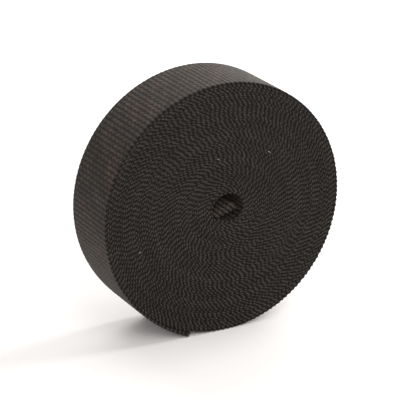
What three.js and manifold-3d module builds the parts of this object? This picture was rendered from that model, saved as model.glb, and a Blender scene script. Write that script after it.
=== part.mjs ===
// Exhaust heat wrap: one roll of woven tape standing on its edge, its loose end lying on the floor.
// Millimetres, +Z up, the roll's axis along Y, its front end towards -Y.
import * as THREE from 'three';
import { mergeVertices } from 'three/addons/utils/BufferGeometryUtils.js';
import Module from 'manifold-3d';

// The tape
const TAPE_WIDTH = 50.8;
const TAPE_LENGTH = 15240;
const TAPE_THICKNESS = 1.6;
const EDGE_GROOVE_DEPTH = 0.5;

// The opening left by the winding tool, slightly oval and off the roll's centre
const BORE_WIDTH = 22.8;
const BORE_HEIGHT = 19.6;
const BORE_OFFSET_X = 2.3;
const BORE_OFFSET_Z = 1.0;

// The inner end of the tape, which runs across the opening
const STRIP_TILT = THREE.MathUtils.degToRad(19);
const STRIP_END_GAP = 4;
const STRIP_END_DROP = 0.4;

// The outer end of the tape, which has sprung away from the roll and swelled where nothing presses it
const TAIL_ANGLE = THREE.MathUtils.degToRad(252.5);
const TAIL_LOOSE_ARC = THREE.MathUtils.degToRad(45);
const TAIL_LIFT = 2.7;
const TAIL_SWELL = 1.6;
const TAIL_GAP_START = 0.4;

// Smoothness of the round shapes
const BODY_SIDES = 24;
const OUTER_SIDES = 96;

// Sizes that follow from the tape and the opening
const BORE_RADIUS = (BORE_WIDTH + BORE_HEIGHT) / 4;
const ROLL_RADIUS = Math.sqrt(TAPE_LENGTH * TAPE_THICKNESS / Math.PI + BORE_RADIUS ** 2);
const OUTER_START = ROLL_RADIUS - TAPE_THICKNESS / 2;
const OUTER_INSIDE = OUTER_START - TAPE_THICKNESS;
const INNER_TURNS = Math.round((OUTER_INSIDE - BORE_RADIUS) / TAPE_THICKNESS);
const TURN_PITCH = (OUTER_INSIDE - BORE_RADIUS) / INNER_TURNS;
const BODY_RADIUS = (OUTER_INSIDE + TAPE_THICKNESS / 4) / Math.cos(Math.PI / BODY_SIDES);

// The wound body: a turned solid whose ends carry one ridge for each turn
function woundBody() {
  const profile = [];
  const crest = TAPE_WIDTH / 2;
  const groove = crest - EDGE_GROOVE_DEPTH;
  const end = [new THREE.Vector2(BORE_RADIUS, groove)];
  for (let turn = 0; turn < INNER_TURNS; turn += 1) {
    const start = BORE_RADIUS + turn * TURN_PITCH;
    end.push(new THREE.Vector2(start + TURN_PITCH / 2, crest));
    end.push(new THREE.Vector2(start + TURN_PITCH, groove));
  }
  end.push(new THREE.Vector2(BODY_RADIUS, groove));
  for (const point of end) {
    profile.push(new THREE.Vector2(point.x, -point.y));
  }
  for (const point of end.slice().reverse()) {
    profile.push(point.clone());
  }
  profile.push(profile[0].clone());
  const body = new THREE.LatheGeometry(profile, BODY_SIDES);
  settleTurns(body);
  return body;
}

// The inner turns follow the oval opening, and the outer ones are round
function settleTurns(geometry) {
  const position = geometry.attributes.position;
  const stretch = (BORE_WIDTH - BORE_HEIGHT) / (BORE_WIDTH + BORE_HEIGHT);
  for (let i = 0; i < position.count; i += 1) {
    const x = position.getX(i);
    const z = position.getZ(i);
    const depth = (OUTER_INSIDE - Math.hypot(x, z)) / (OUTER_INSIDE - BORE_RADIUS);
    const inward = Math.max(0, depth);
    position.setX(i, x * (1 + stretch * inward) + BORE_OFFSET_X * inward);
    position.setZ(i, z * (1 - stretch * inward) + BORE_OFFSET_Z * inward);
  }
}

// How loose the tape is, from 0 to 1 at its cut end, a given angle after the outer turn begins
function looseness(angle) {
  const along = (angle - 2 * Math.PI + TAIL_LOOSE_ARC) / TAIL_LOOSE_ARC;
  return Math.max(0, along) ** 2;
}

// A point on the outer turn, a number of layers in from its outside. It winds outwards by one
// thickness of tape.
function outerPoint(angle, layers) {
  const outside = OUTER_START + TAPE_THICKNESS * angle / (2 * Math.PI) + TAIL_LIFT * looseness(angle);
  const radius = outside - layers * (TAPE_THICKNESS + TAIL_SWELL * looseness(angle));
  const around = TAIL_ANGLE + angle;
  return new THREE.Vector2(radius * Math.cos(around), radius * Math.sin(around));
}

// The outer turn: its outside, the square cut end of the tape and the gap under the loose end
function outerTurn() {
  const whole = 2 * Math.PI;
  const gapAngle = TAIL_LOOSE_ARC * (1 - Math.sqrt(TAIL_GAP_START / (TAIL_LIFT - TAIL_SWELL)));
  const gapSides = Math.ceil(gapAngle / whole * OUTER_SIDES);
  const outline = [];
  for (let i = gapSides; i > 0; i -= 1) {
    outline.push(outerPoint(-gapAngle * i / gapSides, 0));
  }
  for (let i = 0; i <= OUTER_SIDES; i += 1) {
    outline.push(outerPoint(whole * i / OUTER_SIDES, 0));
  }
  for (let i = 0; i <= gapSides; i += 1) {
    outline.push(outerPoint(whole - gapAngle * i / gapSides, 1));
  }
  const shape = new THREE.Shape(outline);
  const inside = [];
  for (let i = 0; i < OUTER_SIDES; i += 1) {
    const around = whole * i / OUTER_SIDES;
    inside.push(new THREE.Vector2(OUTER_INSIDE * Math.cos(around), OUTER_INSIDE * Math.sin(around)));
  }
  shape.holes.push(new THREE.Path(inside));
  const turn = new THREE.ExtrudeGeometry(shape, { depth: TAPE_WIDTH, bevelEnabled: false });
  turn.translate(0, 0, -TAPE_WIDTH / 2);
  turn.rotateX(Math.PI / 2);
  return turn;
}

// The inner end of the tape: a flat strip from the left of the opening to a free end at its right
function innerStrip() {
  const right = BORE_OFFSET_X + BORE_WIDTH / 2 - STRIP_END_GAP;
  const left = BORE_OFFSET_X - BORE_WIDTH / 2 - 2 * TAPE_THICKNESS;
  const length = (right - left) / Math.cos(STRIP_TILT);
  const rise = (right - left) * Math.tan(STRIP_TILT);
  const strip = new THREE.BoxGeometry(length, TAPE_WIDTH - 2 * EDGE_GROOVE_DEPTH, TAPE_THICKNESS);
  strip.rotateY(-STRIP_TILT);
  strip.translate((left + right) / 2, 0, BORE_OFFSET_Z - STRIP_END_DROP - rise / 2);
  return strip;
}

const wasm = await Module();
wasm.setup();

function toSolid(geometry) {
  const bare = geometry.clone();
  bare.deleteAttribute('normal');
  bare.deleteAttribute('uv');
  const merged = mergeVertices(bare, 1e-4);
  return new wasm.Manifold(new wasm.Mesh({
    numProp: 3,
    vertProperties: new Float32Array(merged.attributes.position.array),
    triVerts: new Uint32Array(merged.index.array),
  }));
}

function toGeometry(solid) {
  const mesh = solid.getMesh();
  const geometry = new THREE.BufferGeometry();
  geometry.setAttribute('position', new THREE.BufferAttribute(new Float32Array(mesh.vertProperties), 3));
  geometry.setIndex(new THREE.BufferAttribute(new Uint32Array(mesh.triVerts), 1));
  geometry.computeVertexNormals();
  return geometry;
}

// The roll stands with its lowest point on the floor, and its middle over the origin
function standOnFloor(geometry) {
  geometry.computeBoundingBox();
  const box = geometry.boundingBox;
  const middle = box.getCenter(new THREE.Vector3());
  geometry.translate(-middle.x, -middle.y, -box.min.z);
  return geometry;
}

const roll = toSolid(woundBody()).add(toSolid(outerTurn())).add(toSolid(innerStrip()));

const wovenTape = new THREE.MeshStandardMaterial({ color: 0x3d3835, roughness: 0.85, metalness: 0 });
const wrapRoll = new THREE.Mesh(standOnFloor(toGeometry(roll)), wovenTape);
wrapRoll.name = 'wrap_roll';

const object = new THREE.Group();
object.name = 'exhaust_heat_wrap';
object.add(wrapRoll);

export default object;
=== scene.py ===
"""Exhaust heat wrap: a roll of coarse woven tape standing on its edge on a pale floor.

The tape is one long ribbon, wound anticlockwise as seen from its front end (-Y). The long pieces are
stretches of that ribbon, so its ribs and edge loops run on from one to the next. The other pieces are
loose strands at its two cut ends and on its front. All sizes are in metres, +Z is up and the roll's
axis lies along Y.
"""

import math

import bpy
import numpy as np
from bpy.props import FloatProperty, FloatVectorProperty, IntProperty, PointerProperty
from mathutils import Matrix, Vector


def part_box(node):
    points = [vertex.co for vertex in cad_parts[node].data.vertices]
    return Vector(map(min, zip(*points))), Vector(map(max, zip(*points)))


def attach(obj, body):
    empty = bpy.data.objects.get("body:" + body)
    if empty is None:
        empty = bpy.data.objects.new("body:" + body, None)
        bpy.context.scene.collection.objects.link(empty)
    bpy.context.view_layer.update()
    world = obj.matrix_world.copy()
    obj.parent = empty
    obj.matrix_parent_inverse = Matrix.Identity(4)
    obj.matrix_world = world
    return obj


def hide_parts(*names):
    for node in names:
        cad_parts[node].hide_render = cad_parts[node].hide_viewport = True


bl_info = {
    "name": "Exhaust Heat Wrap Roll",
    "version": (1, 0, 0),
    "blender": (4, 5, 0),
    "location": "View3D > Sidebar > Heat Wrap",
    "description": "Builds a roll of woven exhaust heat wrap, yarn by yarn, and its studio",
    "category": "Add Mesh",
}

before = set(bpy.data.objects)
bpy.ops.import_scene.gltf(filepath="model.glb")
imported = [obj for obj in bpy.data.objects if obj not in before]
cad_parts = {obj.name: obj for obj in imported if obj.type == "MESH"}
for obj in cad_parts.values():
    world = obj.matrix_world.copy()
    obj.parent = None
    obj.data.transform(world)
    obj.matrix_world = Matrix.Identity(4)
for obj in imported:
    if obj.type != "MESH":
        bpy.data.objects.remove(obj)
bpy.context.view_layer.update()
NODE_LOW, NODE_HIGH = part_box("wrap_roll")

MM = 0.001
TAU = 2 * math.pi

# The roll as it is wound in the frame
TAPE_LENGTH = 15240 * MM
THICKNESS = 1.6 * MM
BORE_WIDTH = 22.8 * MM
BORE_HEIGHT = 19.6 * MM
BORE_OFFSET = (2.3 * MM, 1.0 * MM)
STRIP_TILT = math.radians(19)
STRIP_END_GAP = 4 * MM
STRIP_END_DROP = 0.4 * MM
STRIP_STRAIGHT = 13.5 * MM
BEND_REACH = 4.2 * MM
TAIL_ANGLE = math.radians(252.5)
TAIL_LOOSE_ARC = math.radians(45)
TAIL_LIFT = 2.7 * MM

# The loose end swells by more than the frame's solid does (1.6 mm), because the loops along its edge
# leave open a part of the place that the solid fills
TAIL_SWELL = 2.3 * MM

BORE_RADIUS = (BORE_WIDTH + BORE_HEIGHT) / 4
ROLL_RADIUS = math.sqrt(TAPE_LENGTH * THICKNESS / math.pi + BORE_RADIUS**2)
OUTER_START = ROLL_RADIUS - THICKNESS / 2
OUTER_INSIDE = OUTER_START - THICKNESS

# The strip across the opening bends into the first turn at the lower left
JOIN_ANGLE = math.radians(242)
TURNS = round((OUTER_START - BORE_RADIUS) / THICKNESS) + (TAIL_ANGLE - JOIN_ANGLE) / TAU + 1
PITCH = (OUTER_START - BORE_RADIUS + THICKNESS / 2) / TURNS

# A hair's breadth that keeps neighbouring turns from touching
SKIN_GAP = 0.01 * MM

# The weft's edge loops, each half of a leaning ellipsoid. Every loop strays in place, lean, size and
# height by up to these shares, by its own column of LOOP_SCATTER, which knows more loops than there are.
LOOP_LEAN = math.radians(30)
LOOP_HALF_LENGTH = 1.5 * MM
LOOP_HALF_WIDTH = 0.66 * MM
LOOP_PLACE_STRAY = 0.1
LOOP_LEAN_STRAY = 0.6
LOOP_SIZE_STRAY = 0.12
LOOP_LOW_STRAY = 0.07
LOOP_SCATTER = {side: np.random.default_rng(31 + side).uniform(-1, 1, (5, 5000)) for side in (-1, 1)}

# Side -1 is the front, where the weft turns round in full loops, and side 1 the back, which is smoother
EDGE_DEPTHS = {-1: 1.0, 1: 0.5}

# Where a face of the tape shows, its edge is pressed less: the loops are shorter and shallower by this
# share, and each edge point reads them at this share of its level and shifted towards the inner face
LOOSE_LOOPS = 0.8
RIM_SHARE = 0.6
RIM_SHIFT = 0.25

# The weave: how far a rib swings to and fro between warp yarns, and the border along each edge, where
# the face thins, its relief takes on the loops' outline, and painted shade darkens it in the gaps between
# loops
RIB_SWING = 0.28 * MM
SELVEDGE = 3 * MM
SELVEDGE_THINNING = 0.15 * MM
SELVEDGE_CURVE = 1.5
GAP_SHARE = 0.6

# Even noise, as its strength, its period in metres and its seed: how many ribs the count slips by, how
# much the edge loops' size varies, and how far the tone of loops and of face yarns strays
RIB_SLIPS = ((0.2, 0.9, 3), (0.5, 0.14, 4), (0.08, 0.026, 6))
TURN_STRAY = (1.0, 0.33, 7)
WEAVE_STRAY = (0.5, 0.05, 8)
LOOP_SIZE_NOISE = (0.12, 0.0041, 5)
LOOP_TONES = ((0.5, 0.0036, 21), (0.5, 0.0036, 22))
FACE_TONE = (1.0, 0.0052, 23)
FACE_TONE_SLANT = 0.7

# Painted light and shade, added to the face yarns' tone. The inner end is given as pairs of a place, in
# lengths of the first turn, and a tone: the strip is painted light, the opening's lower wall middling and
# its upper wall painted dark, as shade.
INNER_PAINTED_SHADING = ((-0.02, 8.0), (0, 0.8), (0.35, 0.8), (0.45, -2.4))
# The last turn's faces are a little darker: painted shade for the valleys of their ribs
LAST_TURN_PAINTED_SHADE = -0.3

# How finely the tape is built
INNER_ROWS = 200
LAST_TURN_ROWS = 1100
SAMPLES_PER_RIB = 7
TURN_LEVELS = np.array([-1.0, -0.5, 0.0, 0.5, 1.0])
RIM_LEVELS = np.array([0.8, 0.4, 0, -0.4, -0.8])

# Loose strands: rows along a strand, sides round it, and the share that its tip is thinned by
STRAND_ROWS = 6
STRAND_SIDES = 5
STRAND_THINNING = 0.75

# The frayed ends: how many strands each cut yarn frays into, how deep they start, how far they spread
# over the tape's thickness and along its width, how far they bend, and their thickness in mm
STRANDS_PER_YARN = 3
FRAY_ROOT = 0.8 * MM
FRAY_SPREAD = 0.7
FRAY_STAGGER = 0.3
FRAY_BEND = 0.4
FRAY_THICKNESS = (0.4, 0.75)
FRAY_SEED = 60

# The broken filaments on the front, each with its x and z from the roll's centre in mm, its angle from
# +X and its length in mm. They bend sideways and lift off the roll by these shares of their length.
LINT_THICKNESS = 0.4 * MM
LINT_BEND = 0.06
LINT_LIFT = 0.1
LINT = ((32.7, 36.4, -42, 2.6), (-65.1, -18.9, 25, 1.8), (-6.0, 37.2, -35, 1.4))

# The finish: its name, and where each tint of the cured coating sits in its noise with its change of
# red, green and blue: grey green, tan, plain warm grey and mauve
YARN_FINISH = "Graphite-coated woven glass yarn"
COATING_TINTS = (
    (0.36, (0.96, 1.02, 0.96)),
    (0.70, (1.26, 1.07, 0.88)),
    (0.47, (1.06, 1.0, 0.955)),
    (0.57, (1.22, 0.96, 1.0)),
)

# Sockets of a Mix node: its factor, its pair of numbers, its pair of colours, and the colour it gives
FACTOR, NUMBER_A, NUMBER_B, COLOUR_A, COLOUR_B, COLOUR_OUT = 0, 2, 3, 6, 7, 2

# The studio: a floor that ends out of sight, the even light of the room, and square soft boxes, each with
# its name, degrees round the roll from +X, degrees above the floor, and power in watts
FLOOR_REACH = 6.0
ROOM_LIGHT = 0.4
LIGHT_SIDE = 0.9
LIGHT_DISTANCE = 1.6
LIGHT_COLOUR = (1.0, 0.965, 0.945)
STUDIO_LIGHTS = (
    ("right fill", 0, 42, 16.5),
    ("left front fill", 225, 18, 5.5),
    ("low front fill", 270, 18, 8.0),
    ("front fill", 270, 42, 7.5),
    ("back right rim", 45, 18, 9.5),
    ("back key", 92, 42, 9.5),
)

# The camera, fitted to the photograph: degrees round from the front, degrees up, distance in radii of
# the roll, and in pixels its focal length, the picture's width and how far the roll's centre stands
# above the picture's middle
CAMERA_ROUND = -28.22
CAMERA_UP = 20.505
CAMERA_RADII = 16
FOCAL_PIXELS = 2084.6
PICTURE_PIXELS = 415
CENTRE_PIXELS = 9.35
SENSOR_WIDTH = 36


class HeatWrapSizes(bpy.types.PropertyGroup):
    """Sizes and colours that a user would change."""

    tape_width: FloatProperty(
        name="Tape width",
        description="Width of the woven tape, along the roll's axis",
        default=NODE_HIGH[1] - NODE_LOW[1],
        unit="LENGTH",
    )
    rib_pitch: FloatProperty(
        name="Rib pitch",
        description="Distance between two weft ribs along the tape",
        default=3.45 * MM,
        unit="LENGTH",
    )
    rib_height: FloatProperty(
        name="Rib height",
        description="Height of a weft rib over the valley beside it",
        default=0.45 * MM,
        unit="LENGTH",
    )
    loop_depth: FloatProperty(
        name="Edge loop depth",
        description="How far the gaps between the weft loops cut into the tape's edge",
        default=1.15 * MM,
        unit="LENGTH",
    )
    lay_scatter: FloatProperty(
        name="Lay scatter",
        description="How far a turn strays sideways from a perfectly even winding",
        default=0.1 * MM,
        unit="LENGTH",
    )
    fray_length: FloatProperty(
        name="Fray length",
        description="How far the longest cut yarns stand out of the tape's ends",
        default=1.5 * MM,
        unit="LENGTH",
    )
    warp_yarns: IntProperty(
        name="Warp yarns",
        description="Number of lengthwise yarns across the tape",
        default=19,
    )
    yarn_colour: FloatVectorProperty(
        name="Yarn colour",
        description="Colour of the coated yarn in full light, sRGB",
        subtype="COLOR_GAMMA",
        default=(0.189, 0.173, 0.157),
    )
    floor_colour: FloatVectorProperty(
        name="Floor colour",
        description="Colour of the studio floor, sRGB",
        subtype="COLOR_GAMMA",
        default=(0.97, 0.97, 0.97),
    )


# Winding: where a point of the tape lies in the roll


def turn_at(length):
    """The turn number at a length along the tape. A spiral of even pitch has the length
    tau * (r * n + pitch * n^2 / 2) after n turns, and this is that formula solved for n."""
    return (-BORE_RADIUS + np.sqrt(BORE_RADIUS**2 + PITCH * length / math.pi)) / PITCH


def length_at(turn):
    """The length along the tape at a turn number: tau * (r * n + pitch * n^2 / 2)."""
    return TAU * (BORE_RADIUS * turn + PITCH * turn**2 / 2)


def angle_at(turn):
    """The angle from +X at a turn number: the last turn ends at the loose end's angle."""
    return TAIL_ANGLE + (turn - TURNS) * TAU


def settle(x, z):
    """The inner turns follow the oval opening off the roll's centre, and the outer ones are round:
    each point is stretched and moved by how far in it lies, and then set in the frame."""
    inward = np.clip((OUTER_INSIDE - np.hypot(x, z)) / (OUTER_INSIDE - BORE_RADIUS), 0, 1)
    stretch = (BORE_WIDTH - BORE_HEIGHT) / (BORE_WIDTH + BORE_HEIGHT)
    return (
        x * (1 + stretch * inward) + BORE_OFFSET[0] * inward + CENTRE[0],
        z * (1 - stretch * inward) + BORE_OFFSET[1] * inward + CENTRE[1],
    )


def looseness(turn):
    """How loose the tape is, from 0 to 1 at its cut end: the square of the way along the loose part."""
    return np.clip(1 - (TURNS - turn) * TAU / TAIL_LOOSE_ARC, 0, None) ** 2


def outer_radius(turn):
    """Radius of the tape's outer face: one thickness more with each turn, and the lift of the loose end."""
    return OUTER_START + PITCH * (turn - TURNS + 1) + TAIL_LIFT * looseness(turn)


def find_centre():
    """The roll's centre in the frame: the outline of the last turn touches the right side and the
    bottom of the frame's box."""
    turn = np.linspace(TURNS - 1, TURNS, 97)
    angle = angle_at(turn)
    radius = outer_radius(turn)
    return NODE_HIGH[0] - np.max(radius * np.cos(angle)), NODE_LOW[2] - np.min(radius * np.sin(angle))


CENTRE = find_centre()


def outward_normals(path):
    """The normal out of the tape's outer face at each point of a path: its heading, turned by a quarter."""
    step = np.gradient(path, axis=0)
    step /= np.linalg.norm(step, axis=1)[:, None]
    return np.stack([step[:, 1], -step[:, 0]], axis=1)


def wound_path(length):
    """The middle of the tape and its outward normal, as x and z, at a length along the wound part."""
    turn = turn_at(length)
    angle = angle_at(turn)
    radius = outer_radius(turn) - PITCH / 2
    path = np.stack(settle(radius * np.cos(angle), radius * np.sin(angle)), axis=1)
    return path, outward_normals(path)


def inner_path(rows):
    """The tape's inner end: a straight strip across the opening, a bend, and the first turn. The bend is
    a cubic curve that leaves the strip and meets the turn in their own directions. The points are
    spaced evenly by length, and the length is 0 where the first turn begins."""
    turn, turn_normal = wound_path(np.linspace(0, length_at(1.0), 400))
    free = np.array([BORE_OFFSET[0] + BORE_WIDTH / 2 - STRIP_END_GAP, BORE_OFFSET[1] - STRIP_END_DROP])
    free += CENTRE
    along = -np.array([math.cos(STRIP_TILT), math.sin(STRIP_TILT)])
    bend_start = free + along * STRIP_STRAIGHT
    t = np.linspace(0, 1, 60)[:, None]
    into = np.array([-turn_normal[0, 1], turn_normal[0, 0]])
    handles = (bend_start, bend_start + along * BEND_REACH, turn[0] - into * BEND_REACH, turn[0])
    weights = ((1 - t) ** 3, 3 * t * (1 - t) ** 2, 3 * t**2 * (1 - t), t**3)
    bend = sum(w * h for w, h in zip(weights, handles))
    path = np.concatenate([np.linspace(free, bend_start, 40)[:-1], bend[:-1], turn])
    run = np.concatenate([[0], np.cumsum(np.linalg.norm(np.diff(path, axis=0), axis=1))])
    even = np.linspace(0, run[-1], rows)
    middle = np.stack([np.interp(even, run, path[:, k]) for k in (0, 1)], axis=1)
    return even - run[-1] + length_at(1.0), middle, outward_normals(middle)


# Even noise and the weave, as functions of the length along the tape


def wander(length, strength, period, seed):
    """Smooth noise between about -strength and strength: random values one period apart, joined by
    cosines."""
    values = np.random.default_rng(seed).uniform(-1, 1, int(TAPE_LENGTH * 1.2 / period) + 8)
    at = (length + 0.2) / period
    low = np.floor(at).astype(int)
    mix = 0.5 - 0.5 * np.cos(math.pi * (at - low))
    return strength * (values[low] * (1 - mix) + values[low + 1] * mix)


def rib_number(length, sizes):
    """The weft rib counted along the tape. It slips to and fro, as the weaver's beat and the winding's
    pull do, so neighbouring turns fall in and out of step."""
    return length / sizes.rib_pitch + sum(wander(length, *slip) for slip in RIB_SLIPS)


def loop_height(length, across, sizes, side, looser):
    """Height of the weft's edge loops over the gaps between them, from 0 to 1. Each loop is half of an
    ellipsoid, one to a rib, that leans across the tape's thickness like a strand of rope: its length
    and width are turned by the lean, and the highest of three neighbours is taken. Each loop has its
    own place, lean, length, width and height, and looser is a share that shortens them all."""
    rib = rib_number(length, sizes)
    aside = across * THICKNESS / 2
    highest = np.zeros(np.broadcast(rib, aside).shape)
    for neighbour in (-1, 0, 1):
        number = np.floor(rib).astype(int) + neighbour
        place, lean, reach, width, low = LOOP_SCATTER[side][:, number % LOOP_SCATTER[side].shape[1]]
        along = (rib - number - 0.5 - LOOP_PLACE_STRAY * place) * sizes.rib_pitch
        turned = LOOP_LEAN * (1 + LOOP_LEAN_STRAY * lean)
        half_length = LOOP_HALF_LENGTH * looser * (1 + LOOP_SIZE_STRAY * reach)
        half_width = LOOP_HALF_WIDTH * (1 + LOOP_SIZE_STRAY * width)
        far = (along * np.cos(turned) + aside * np.sin(turned)) / half_length
        wide = (aside * np.cos(turned) - along * np.sin(turned)) / half_width
        height = np.sqrt(np.clip(1 - far**2 - wide**2, 0, 1)) * (1 - LOOP_LOW_STRAY * (1 - low))
        highest = np.maximum(highest, height)
    return highest


def edge_outset(length, across, sizes, side, looser=1.0):
    """How far the tape's edge stands out at a length along it, and from -1 to 1 across its thickness:
    the drop into the gaps between the loops, and the small stray of the whole turn to either side.
    looser is a share that makes the loops shorter and the gaps shallower."""
    strength, period, seed = WEAVE_STRAY
    lay = sizes.lay_scatter * (wander(length, *TURN_STRAY) + wander(length, strength, period, seed + side))
    deep = sizes.loop_depth * looser * EDGE_DEPTHS[side]
    strength, period, seed = LOOP_SIZE_NOISE
    size = 1 + wander(length, strength, period, seed + side)
    return lay - deep * (1 - loop_height(length, across, sizes, side, looser)) * size


def loop_tone(length, side):
    """How much lighter or darker an edge loop is than the rest: noise along the tape, other noise on its
    front edge (side below 0) than on its back one."""
    front, back = (wander(length, *noise) for noise in LOOP_TONES)
    return np.where(side < 0, front, back)


def weave(length, across, sizes):
    """Height of a face of the tape over its valleys, from 0 to 1, and how much it shows warp. A weft
    rib is a flattened half circle over each rib's length, and swings to and fro by a cosine across the
    tape. A warp yarn is a half circle across the tape that climbs over every other rib, and the
    neighbouring yarn climbs over the ribs between."""
    yarn = (across / sizes.tape_width + 0.5) * sizes.warp_yarns
    rib = rib_number(length + RIB_SWING * np.cos(math.pi * yarn), sizes)
    in_rib = 2 * (rib - np.floor(rib)) - 1
    in_yarn = 2 * (yarn - np.floor(yarn)) - 1
    pressed = 0.5 - 0.5 * np.cos(math.pi * (yarn - 0.5 + np.floor(rib)))
    weft = np.cos(math.pi / 2 * in_rib) ** 1.2 * (1 - 0.3 * pressed**1.5)
    over = 0.5 - 0.5 * np.cos(math.pi * (rib + np.floor(yarn)))
    warp = np.sqrt(np.clip(1 - (1.5 * in_yarn) ** 2, 0, 1)) * 0.4 * over**1.6
    return np.maximum(weft, warp), np.clip((warp - weft) * 3 + 0.5, 0, 1)


# Mesh making. A point carries three values for the finish: rise, how far it stands out of the gaps round
# it, from 0 to 1, which the finish turns into painted shade in the gaps and valleys; lay, -1 on an edge, 0
# on a face's weft and 1 on its warp; and tone, how light it is, as random tone and painted light and shade.


def tube_mesh(name, points, uv, rise, lay, tone):
    """Closed tubes of skin: points is tubes x rows x columns x 3, where the columns run round the
    section and the rows along the path. Each quad joins two rows and two columns, the last column joins
    the first and a flat face closes each end. uv has one column more, for the seam."""
    tubes, rows, columns = points.shape[:3]
    index = np.arange(tubes * rows * columns).reshape(tubes, rows, columns)
    following = np.roll(index, -1, axis=2)
    quads = np.stack([index[:, :-1], following[:, :-1], following[:, 1:], index[:, 1:]], axis=-1)
    quads = quads.reshape(-1, 4)
    ends = np.concatenate([index[:, 0, ::-1], index[:, -1]])
    quad_uv = np.stack([uv[:, :-1, :-1], uv[:, :-1, 1:], uv[:, 1:, 1:], uv[:, 1:, :-1]], axis=3)
    parts = (quad_uv, uv[:, 0, -2::-1], uv[:, -1, :-1])
    corner_uv = np.concatenate([part.reshape(-1, 2) for part in parts])
    corners = np.concatenate([quads.ravel(), ends.ravel()]).astype(np.int32)
    starts = np.concatenate([np.arange(len(quads)) * 4, quads.size + np.arange(len(ends)) * columns])
    mesh = bpy.data.meshes.new(name)
    mesh.vertices.add(index.size)
    mesh.vertices.foreach_set("co", points.ravel())
    mesh.loops.add(len(corners))
    mesh.loops.foreach_set("vertex_index", corners)
    mesh.polygons.add(len(starts))
    mesh.polygons.foreach_set("loop_start", starts.astype(np.int32))
    mesh.update(calc_edges=True)
    mesh.uv_layers.new(name="tape").data.foreach_set("uv", corner_uv.ravel())
    for layer, values in (("rise", rise), ("lay", lay), ("tone", tone)):
        mesh.attributes.new(layer, "FLOAT", "POINT").data.foreach_set("value", values.ravel())
    mesh.polygons.foreach_set("use_smooth", np.arange(len(starts)) < len(quads))
    mesh.validate()
    return mesh


def add_piece(name, mesh, material):
    """Puts a finished mesh in the scene as a piece of the roll."""
    piece = bpy.data.objects.new(name, mesh)
    bpy.context.scene.collection.objects.link(piece)
    mesh.materials.append(material)
    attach(piece, "root")
    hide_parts("wrap_roll")
    return piece


def wound_stretch(name, start, stop, sizes, material):
    """A stretch of tape deep in the roll, where only its two edges show. The section is a loop of ten
    points: five across the front edge and five across the back one. A point's radius follows from its
    turn and its place across the thickness, and its y from edge_outset."""
    rows = int((length_at(stop) - length_at(start)) / sizes.rib_pitch * SAMPLES_PER_RIB)
    length = np.linspace(length_at(start), length_at(stop), rows)[:, None]
    turn = turn_at(length)
    front, back = (edge_outset(length, TURN_LEVELS[None, :], sizes, side) for side in (-1, 1))
    out = np.concatenate([front, back[:, ::-1]], axis=1)
    across = np.concatenate([TURN_LEVELS, TURN_LEVELS[::-1]])[None, :]
    side = np.repeat([-1, 1], len(TURN_LEVELS))[None, :]
    radius = outer_radius(turn) - PITCH / 2 + across * (PITCH / 2 - SKIN_GAP)
    angle = angle_at(turn)
    x, z = settle(radius * np.cos(angle), radius * np.sin(angle))
    points = np.stack([x, side * (sizes.tape_width / 2 + out), z], axis=-1)
    # Painted shade: the colour darkens with rise towards the gaps between the loops
    rise = np.clip(1 + out / sizes.loop_depth, 0, 1)
    tone = np.broadcast_to(loop_tone(length, side), rise.shape)
    ring = np.linspace(-4, 4, across.size + 1) * MM
    uv = np.stack(np.broadcast_arrays(length, ring[None, :]), axis=-1)
    mesh = tube_mesh(name, points[None], uv[None], rise, np.full_like(rise, -1), tone)
    return add_piece(name, mesh, material)


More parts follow.
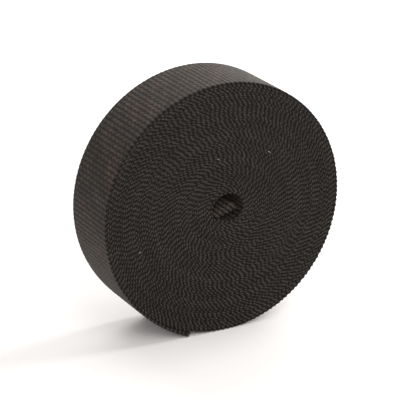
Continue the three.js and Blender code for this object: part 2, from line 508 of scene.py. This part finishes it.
def faced_stretch(name, length, middle, normal, sizes, material, per_yarn, inner_relief, painted_shading):
    """A stretch of tape whose faces show. middle is the path of its middle and normal points out of its
    outer face. The section's loop runs across the outer face, round the back edge, across the inner
    face and round the front edge. Face points stand out by weave(), edge points by edge_outset. Each
    warp yarn takes per_yarn columns, inner_relief says that the inner face shows its weave too, and the
    last argument is the painted light and shade that each row's faces add to their tone."""
    half = sizes.tape_width / 2
    face = np.linspace(-half, half, sizes.warp_yarns * per_yarn + 1)
    inner = face[::-1] if inner_relief else np.array([half, -half])
    rim = np.full(len(RIM_LEVELS), half)
    place = np.concatenate([face, rim, inner, -rim])[None, :]
    level = np.concatenate([np.ones(len(face)), RIM_LEVELS, -np.ones(len(inner)), -RIM_LEVELS])[None, :]
    on_edge = np.abs(level) < 1
    rows = length[:, None]
    side = np.sign(place)
    bulge = RIM_SHARE * level - RIM_SHIFT
    front, back = (edge_outset(rows, bulge, sizes, end, LOOSE_LOOPS) for end in (-1, 1))
    out = np.where(side < 0, front, back)
    height, warp = weave(rows, place, sizes)
    shown = (level > 0) | inner_relief
    border = np.clip((np.abs(place) - half + SELVEDGE) / SELVEDGE, 0, 1) ** SELVEDGE_CURVE
    sink = ((height - 1) * sizes.rib_height - SELVEDGE_THINNING * border) * shown
    swell = TAIL_SWELL * looseness(turn_at(np.clip(rows, 0, None)))
    offset = level * (THICKNESS / 2 - SKIN_GAP) + np.where(on_edge, 0, np.sign(level) * sink)
    offset = offset + (level - 1) * swell / 2
    points = np.empty((len(length), level.size, 3))
    points[..., 0] = middle[:, 0:1] + normal[:, 0:1] * offset
    points[..., 1] = place + side * out * np.where(on_edge, 1, border)
    points[..., 2] = middle[:, 1:2] + normal[:, 1:2] * offset
    # Painted shade: the gaps between loops darken faster than their depth alone gives, on the edges and in
    # the faces' border, and faces darken with rise in their valleys
    painted_gap_shade = np.clip(1 + out / (GAP_SHARE * sizes.loop_depth * LOOSE_LOOPS), 0, 1)
    rise = np.where(on_edge, painted_gap_shade, height * (1 - border * (1 - painted_gap_shade)))
    # Random tone of the face yarns, plus the painted light and shade given for each row
    face_tone = wander(rows + FACE_TONE_SLANT * place, *FACE_TONE) + painted_shading[:, None]
    tone = np.where(on_edge, loop_tone(rows, side), face_tone)
    # The coating's patches show on the roll's outside only, so faces inside it are finished as edges are
    lay = np.where(on_edge | inner_relief, -1, warp)
    walk = np.abs(np.diff(place[0])) + np.abs(np.diff(level[0])) * THICKNESS / 2
    ring = np.concatenate([[0], np.cumsum(walk), [walk.sum() + THICKNESS / 10]]) - half
    uv = np.stack(np.broadcast_arrays(rows, ring[None, :]), axis=-1)
    return add_piece(name, tube_mesh(name, points[None], uv[None], rise, lay, tone), material)


def strands(name, root, heading, bend, thick, material):
    """Short loose strands, one for each root. A strand's middle is root + heading * t + bend * t^2, with t
    from 0 to 1, and never lies lower than the floor. Its section is a regular polygon across its heading,
    and it thins evenly towards its tip."""
    t = np.linspace(0, 1, STRAND_ROWS)[None, :, None]
    middle = root[:, None] + heading[:, None] * t + bend[:, None] * t**2
    radius = thick[:, None, None] / 2 * (1 - STRAND_THINNING * t)
    middle[..., 2:] = np.maximum(middle[..., 2:], NODE_LOW[2] + radius)
    aside = np.cross([0, 1, 0], heading)
    aside /= np.linalg.norm(aside, axis=1)[:, None]
    turn = np.arange(STRAND_SIDES) / STRAND_SIDES * TAU
    ring = np.cos(turn)[:, None] * aside[:, None, None] + np.sin(turn)[:, None] * np.array([0, 1, 0])
    points = middle[:, :, None] + radius[..., None] * ring
    along = np.broadcast_to(t * 2 * MM, (len(root), STRAND_ROWS, STRAND_SIDES + 1))
    uv = np.stack([along, np.broadcast_to(np.arange(STRAND_SIDES + 1) * 0.3 * MM, along.shape)], axis=-1)
    rise = np.full(points.shape[:3], 0.8)
    tone = np.broadcast_to(t * 1.5, points.shape[:3])
    return add_piece(name, tube_mesh(name, points, uv, rise, rise * 0, tone), material)


# Materials


def linear(hex_colour):
    """An sRGB hex colour as linear red, green, blue and alpha."""
    parts = [int(hex_colour[i : i + 2], 16) / 255 for i in (0, 2, 4)]
    return tuple([p / 12.92 if p <= 0.04045 else ((p + 0.055) / 1.055) ** 2.4 for p in parts] + [1.0])


def linear_of(colour):
    """An sRGB colour of three numbers as linear red, green, blue and alpha."""
    return linear("".join(f"{round(255 * c):02x}" for c in colour))


def add_node(tree, kind, links=None, **settings):
    """Adds a node. settings whose name is an input's go to its socket, spaces as underscores, and the
    others to the node itself. links names the input that each given output feeds."""
    node = tree.nodes.new(kind)
    for key, value in settings.items():
        socket = node.inputs.get(key.replace("_", " "))
        if socket is not None and not hasattr(node, key):
            socket.default_value = value
        else:
            setattr(node, key, value)
    for key, output in (links or {}).items():
        tree.links.new(output, node.inputs[key])
    return node


def coated_glass_yarn(sizes):
    """Bulked glass yarn, woven and dipped in a graphite coating: a dull, slightly brown black with a dry
    sheen where light grazes it, fine filaments along each yarn, painted shade in its valleys and gaps and
    painted light on its crests. Its colour is the coating's, times a share for each of its patterns."""
    material = bpy.data.materials.new(YARN_FINISH)
    material.use_nodes = True
    tree = material.node_tree
    tree.nodes.clear()
    place = add_node(tree, "ShaderNodeTexCoord").outputs["Object"]
    tape = add_node(tree, "ShaderNodeUVMap", uv_map="tape").outputs["UV"]
    rise, lay, tone = (
        add_node(tree, "ShaderNodeAttribute", attribute_name=name).outputs["Fac"]
        for name in ("rise", "lay", "tone")
    )
    # Filaments in bundles of about 0.15 mm, drawn at 0.3 mm so that they show and 2.4 mm long. They run
    # across the tape on the weft and along it on the warp.
    filaments = []
    for scale in ((3300, 420, 1), (420, 3300, 1)):
        turned = add_node(tree, "ShaderNodeMapping", {"Vector": tape}, Scale=scale).outputs["Vector"]
        noise = add_node(tree, "ShaderNodeTexNoise", {"Vector": turned}, Scale=1.0, Detail=3.0)
        filaments.append(noise.outputs["Fac"])
    pair = {FACTOR: lay, NUMBER_A: filaments[0], NUMBER_B: filaments[1]}
    filament = add_node(tree, "ShaderNodeMix", pair, data_type="FLOAT").outputs[0]
    # Patches of heat-cured coating some 20 mm across, mottling of 1 to 2 mm where a yarn differs from the
    # next, and places of 4 to 8 mm where the weave is pulled tighter
    patch, mottle, pulled = (
        add_node(
            tree, "ShaderNodeTexNoise", {"Vector": place}, Scale=scale, Detail=detail, Roughness=0.5
        ).outputs["Fac"]
        for scale, detail in ((52.0, 2.0), (800.0, 2.0), (190.0, 1.0))
    )
    # The range that each pattern is read over, and the shares that its two ends give. The patches' tints
    # are kept for the outside, and edges take only a quarter of the mottling and pull.
    ranges = {
        "outside": (lay, (-1.0, 0.0), (0.0, 1.0)),
        "uneven": (lay, (-1.0, 0.0), (0.25, 1.0)),
        "mottle": (mottle, (0.3, 0.7), (0.5, 1.5)),
        "pulled": (pulled, (0.3, 0.7), (0.55, 1.45)),
        # Painted shade: points low in the valleys and in the gaps between loops darken, and crests lighten
        "painted_relief_shade": (rise, (0.15, 0.95), (0.03, 1.3)),
        "streak": (filament, (0.3, 0.7), (0.75, 1.25)),
        # Random tone of the yarns, with the painted light and shade of the inner end and the last turn
        "tone": (tone, (-3.0, 8.0), (0.15, 3.45)),
    }
    share = {}
    for name, (pattern, (low, high), (least, most)) in ranges.items():
        limits = {"From_Min": low, "From_Max": high, "To_Min": least, "To_Max": most}
        share[name] = add_node(tree, "ShaderNodeMapRange", {"Value": pattern}, **limits).outputs["Result"]
    both = {0: share["mottle"], 1: share["pulled"]}
    both = add_node(tree, "ShaderNodeMath", both, operation="MULTIPLY").outputs[0]
    tension = add_node(tree, "ShaderNodeMix", {FACTOR: share["uneven"], NUMBER_B: both})
    tension.inputs[NUMBER_A].default_value = 1.0
    shade = tension.outputs[0]
    for name in ("painted_relief_shade", "streak", "tone"):
        pair = {0: shade, 1: share[name]}
        shade = add_node(tree, "ShaderNodeMath", pair, operation="MULTIPLY").outputs[0]
    base = linear_of(sizes.yarn_colour)
    tint = add_node(tree, "ShaderNodeValToRGB", {"Fac": patch})
    for stop, (position, change) in enumerate(COATING_TINTS):
        element = tint.color_ramp.elements[stop] if stop < 2 else tint.color_ramp.elements.new(position)
        element.position = position
        element.color = (*(part * factor for part, factor in zip(base, change)), 1)
    pair = {FACTOR: share["outside"], COLOUR_B: tint.outputs["Color"]}
    coating = add_node(tree, "ShaderNodeMix", pair, data_type="RGBA")
    coating.inputs[COLOUR_A].default_value = base
    pair = {COLOUR_A: coating.outputs[COLOUR_OUT], COLOUR_B: shade}
    colour = add_node(tree, "ShaderNodeMix", pair, data_type="RGBA", blend_type="MULTIPLY")
    colour.inputs[FACTOR].default_value = 1.0
    bump = add_node(tree, "ShaderNodeBump", {"Height": filament}, Strength=0.5, Distance=0.12 * MM)
    shader = add_node(
        tree,
        "ShaderNodeBsdfPrincipled",
        {"Base Color": colour.outputs[COLOUR_OUT], "Normal": bump.outputs["Normal"]},
        Roughness=0.7,
        IOR=1.5,
        Specular_IOR_Level=0.25,
        Sheen_Weight=0.07,
        Sheen_Roughness=0.45,
        Sheen_Tint=linear("b8a898"),
    )
    add_node(tree, "ShaderNodeOutputMaterial", {"Surface": shader.outputs["BSDF"]})
    return material


def bare_glass_fibre():
    """Broken glass filament that the coating never reached: off-white with a faint gloss, and greyer
    where dust of the coating clings to it, in specks under 1 mm."""
    material = bpy.data.materials.new("Uncoated glass filament")
    material.use_nodes = True
    tree = material.node_tree
    shader = tree.nodes["Principled BSDF"]
    place = add_node(tree, "ShaderNodeTexCoord").outputs["Object"]
    dust = add_node(tree, "ShaderNodeTexNoise", {"Vector": place}, Scale=1500.0, Detail=1.0)
    colour = add_node(tree, "ShaderNodeMix", {FACTOR: dust.outputs["Fac"]}, data_type="RGBA")
    colour.inputs[COLOUR_A].default_value = linear("e6e0d6")
    colour.inputs[COLOUR_B].default_value = linear("8c857c")
    tree.links.new(colour.outputs[COLOUR_OUT], shader.inputs["Base Color"])
    shader.inputs["Roughness"].default_value = 0.45
    shader.inputs["IOR"].default_value = 1.5
    return material


def plain_paper(sizes):
    """Seamless studio paper: matt and almost white, with no texture of its own at this distance."""
    material = bpy.data.materials.new("Matt studio paper")
    material.use_nodes = True
    shader = material.node_tree.nodes["Principled BSDF"]
    shader.inputs["Base Color"].default_value = linear_of(sizes.floor_colour)
    shader.inputs["Roughness"].default_value = 0.9
    shader.inputs["Specular IOR Level"].default_value = 0.1
    return material


def yarn_material(context):
    """The yarn's material, made once."""
    return bpy.data.materials.get(YARN_FINISH) or coated_glass_yarn(context.scene.heat_wrap)


class HEATWRAP_OT_inner_turn(bpy.types.Operator):
    """Adds the tape's inner end: the strip across the opening and the first turn round it"""

    bl_idname = "heat_wrap.inner_turn"
    bl_label = "Inner End and First Turn"

    def execute(self, context):
        sizes = context.scene.heat_wrap
        length, middle, normal = inner_path(INNER_ROWS)
        # Painted light on the strip, and painted shade on the opening's upper wall
        painted_shading = np.interp(length / length_at(1.0), *zip(*INNER_PAINTED_SHADING))
        faced_stretch("inner_end", length, middle, normal, sizes, yarn_material(context), 3, True, painted_shading)
        return {"FINISHED"}


class HEATWRAP_OT_wound_turns(bpy.types.Operator):
    """Adds the turns of tape between the first and the last, in four stretches"""

    bl_idname = "heat_wrap.wound_turns"
    bl_label = "Wound Turns"

    def execute(self, context):
        names = ("innermost_turns", "inner_turns", "middle_turns", "outer_turns")
        stops = turn_at(np.linspace(length_at(1.0), length_at(TURNS - 1), len(names) + 1))
        for name, start, stop in zip(names, stops, stops[1:]):
            wound_stretch(name, start, stop, context.scene.heat_wrap, yarn_material(context))
        return {"FINISHED"}


class HEATWRAP_OT_last_turn(bpy.types.Operator):
    """Adds the outermost turn, with the tape's loose end lying on the floor"""

    bl_idname = "heat_wrap.last_turn"
    bl_label = "Last Turn and Loose End"

    def execute(self, context):
        sizes = context.scene.heat_wrap
        length = np.linspace(length_at(TURNS - 1), length_at(TURNS), LAST_TURN_ROWS)
        middle, normal = wound_path(length)
        # Painted shade over the last turn's faces
        painted_shading = np.full(len(length), LAST_TURN_PAINTED_SHADE)
        faced_stretch("last_turn", length, middle, normal, sizes, yarn_material(context), 4, False, painted_shading)
        return {"FINISHED"}


class HEATWRAP_OT_cut_yarns(bpy.types.Operator):
    """Adds the short frayed ends of the warp yarns at both cut ends of the tape"""

    bl_idname = "heat_wrap.cut_yarns"
    bl_label = "Cut Yarn Ends"

    def execute(self, context):
        sizes = context.scene.heat_wrap
        count = STRANDS_PER_YARN * sizes.warp_yarns
        inner, inner_normal = inner_path(INNER_ROWS)[1:]
        outer, outer_normal = wound_path(np.linspace(length_at(TURNS) - 5 * MM, length_at(TURNS), 20))
        cuts = (
            ("inner_yarn_ends", inner[0], inner[0] - inner[1], inner_normal[0], 0),
            ("outer_yarn_ends", outer[-1], outer[-1] - outer[-2], outer_normal[-1], TAIL_SWELL),
        )
        for seed, (name, end, out, normal, swell) in enumerate(cuts):
            random = np.random.default_rng(FRAY_SEED + seed)
            out = np.array([out[0], 0, out[1]]) / np.linalg.norm(out)
            normal = np.array([normal[0], 0, normal[1]])
            level = random.uniform(-FRAY_SPREAD, FRAY_SPREAD, (count, 1))
            stagger = random.uniform(-FRAY_STAGGER, FRAY_STAGGER, count)
            place = (np.arange(count) + 0.5 + stagger) / count - 0.5
            root = np.array([end[0], 0, end[1]]) + normal * (level * THICKNESS / 2 + (level - 1) * swell / 2)
            root = root - out * FRAY_ROOT
            root[:, 1] = place * (sizes.tape_width - 2 * THICKNESS)
            reach = FRAY_ROOT + sizes.fray_length * random.uniform(0.2, 1, (count, 1)) ** 2
            bend = random.uniform(-FRAY_BEND, FRAY_BEND, (count, 3)) * sizes.fray_length
            thick = random.uniform(*FRAY_THICKNESS, count) * MM
            strands(name, root, out * reach, bend, thick, yarn_material(context))
        return {"FINISHED"}


class HEATWRAP_OT_lint(bpy.types.Operator):
    """Adds the few broken filaments that cling to the front of the roll"""

    bl_idname = "heat_wrap.lint"
    bl_label = "Broken Filaments"

    def execute(self, context):
        x, z, angle, reach = np.array(LINT).T
        front = -context.scene.heat_wrap.tape_width / 2 - LINT_THICKNESS / 2
        root = np.stack([CENTRE[0] + x * MM, np.full(len(x), front), CENTRE[1] + z * MM], axis=1)
        turned = np.radians(angle)
        heading = np.stack([np.cos(turned), 0 * turned, np.sin(turned)], axis=1) * (reach * MM)[:, None]
        sideways = LINT_BEND * heading
        bend = np.stack([-sideways[:, 2], -LINT_LIFT * reach * MM, sideways[:, 0]], axis=1)
        strands("lint", root, heading, bend, np.full(len(x), LINT_THICKNESS), bare_glass_fibre())
        return {"FINISHED"}


class HEATWRAP_OT_stage(bpy.types.Operator):
    """Adds the floor, the lights and the camera"""

    bl_idname = "heat_wrap.stage"
    bl_label = "Studio"

    def execute(self, context):
        corners = [(x * FLOOR_REACH, y * FLOOR_REACH, 0) for x, y in ((-1, -1), (1, -1), (1, 1), (-1, 1))]
        mesh = bpy.data.meshes.new("floor")
        mesh.from_pydata(corners, [], [(0, 1, 2, 3)])
        mesh.materials.append(plain_paper(context.scene.heat_wrap))
        floor = bpy.data.objects.new("floor", mesh)
        context.scene.collection.objects.link(floor)

        world = bpy.data.worlds.new("Studio")
        world.use_nodes = True
        background = world.node_tree.nodes["Background"]
        background.inputs["Color"].default_value = (*LIGHT_COLOUR, 1)
        background.inputs["Strength"].default_value = ROOM_LIGHT
        context.scene.world = world

        centre = Vector((CENTRE[0], 0, CENTRE[1]))
        for name, turned, height, power in STUDIO_LIGHTS:
            light = bpy.data.lights.new(name, "AREA")
            light.shape = "SQUARE"
            light.size = LIGHT_SIDE
            light.energy = power
            light.color = LIGHT_COLOUR
            lamp = bpy.data.objects.new(name, light)
            turned, height = math.radians(turned), math.radians(height)
            level = math.cos(height)
            away = Vector((math.cos(turned) * level, math.sin(turned) * level, math.sin(height)))
            lamp.location = centre + away * LIGHT_DISTANCE
            lamp.rotation_euler = (-away).to_track_quat("-Z", "Y").to_euler()
            context.scene.collection.objects.link(lamp)

        turned, height = math.radians(CAMERA_ROUND), math.radians(CAMERA_UP)
        level = math.cos(height)
        back = Vector((math.sin(turned) * level, -math.cos(turned) * level, math.sin(height)))
        distance = CAMERA_RADII * ROLL_RADIUS
        camera = bpy.data.cameras.new("camera")
        camera.sensor_width = SENSOR_WIDTH
        camera.lens = FOCAL_PIXELS / PICTURE_PIXELS * SENSOR_WIDTH
        camera.clip_start = 0.05
        camera.clip_end = 50
        eye = bpy.data.objects.new("camera", camera)
        eye.location = centre + back * distance
        facing = (-back).to_track_quat("-Z", "Y")
        lower = facing @ Vector((0, -1, 0)) * (CENTRE_PIXELS / FOCAL_PIXELS * distance)
        eye.rotation_euler = (centre + lower - eye.location).to_track_quat("-Z", "Y").to_euler()
        context.scene.collection.objects.link(eye)
        context.scene.camera = eye
        context.scene.view_settings.view_transform = "Standard"
        context.scene.view_settings.look = "None"
        return {"FINISHED"}


class HEATWRAP_PT_panel(bpy.types.Panel):
    """Lists the steps that build the roll and its studio"""

    bl_idname = "HEATWRAP_PT_panel"
    bl_label = "Heat Wrap Roll"
    bl_space_type = "VIEW_3D"
    bl_region_type = "UI"
    bl_category = "Heat Wrap"

    def draw(self, context):
        sizes = context.scene.heat_wrap
        for name in sizes.__annotations__:
            self.layout.prop(sizes, name)
        for step in STEPS:
            self.layout.operator(step.bl_idname)


STEPS = (
    HEATWRAP_OT_inner_turn,
    HEATWRAP_OT_wound_turns,
    HEATWRAP_OT_last_turn,
    HEATWRAP_OT_cut_yarns,
    HEATWRAP_OT_lint,
    HEATWRAP_OT_stage,
)
CLASSES = (HeatWrapSizes, *STEPS, HEATWRAP_PT_panel)


def register():
    for cls in CLASSES:
        bpy.utils.register_class(cls)
    bpy.types.Scene.heat_wrap = PointerProperty(type=HeatWrapSizes)


def unregister():
    del bpy.types.Scene.heat_wrap
    for cls in reversed(CLASSES):
        bpy.utils.unregister_class(cls)


def main():
    """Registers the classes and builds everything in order."""
    register()
    bpy.ops.heat_wrap.inner_turn()
    bpy.ops.heat_wrap.wound_turns()
    bpy.ops.heat_wrap.last_turn()
    bpy.ops.heat_wrap.cut_yarns()
    bpy.ops.heat_wrap.lint()
    bpy.ops.heat_wrap.stage()


if __name__ == "__main__":
    main()
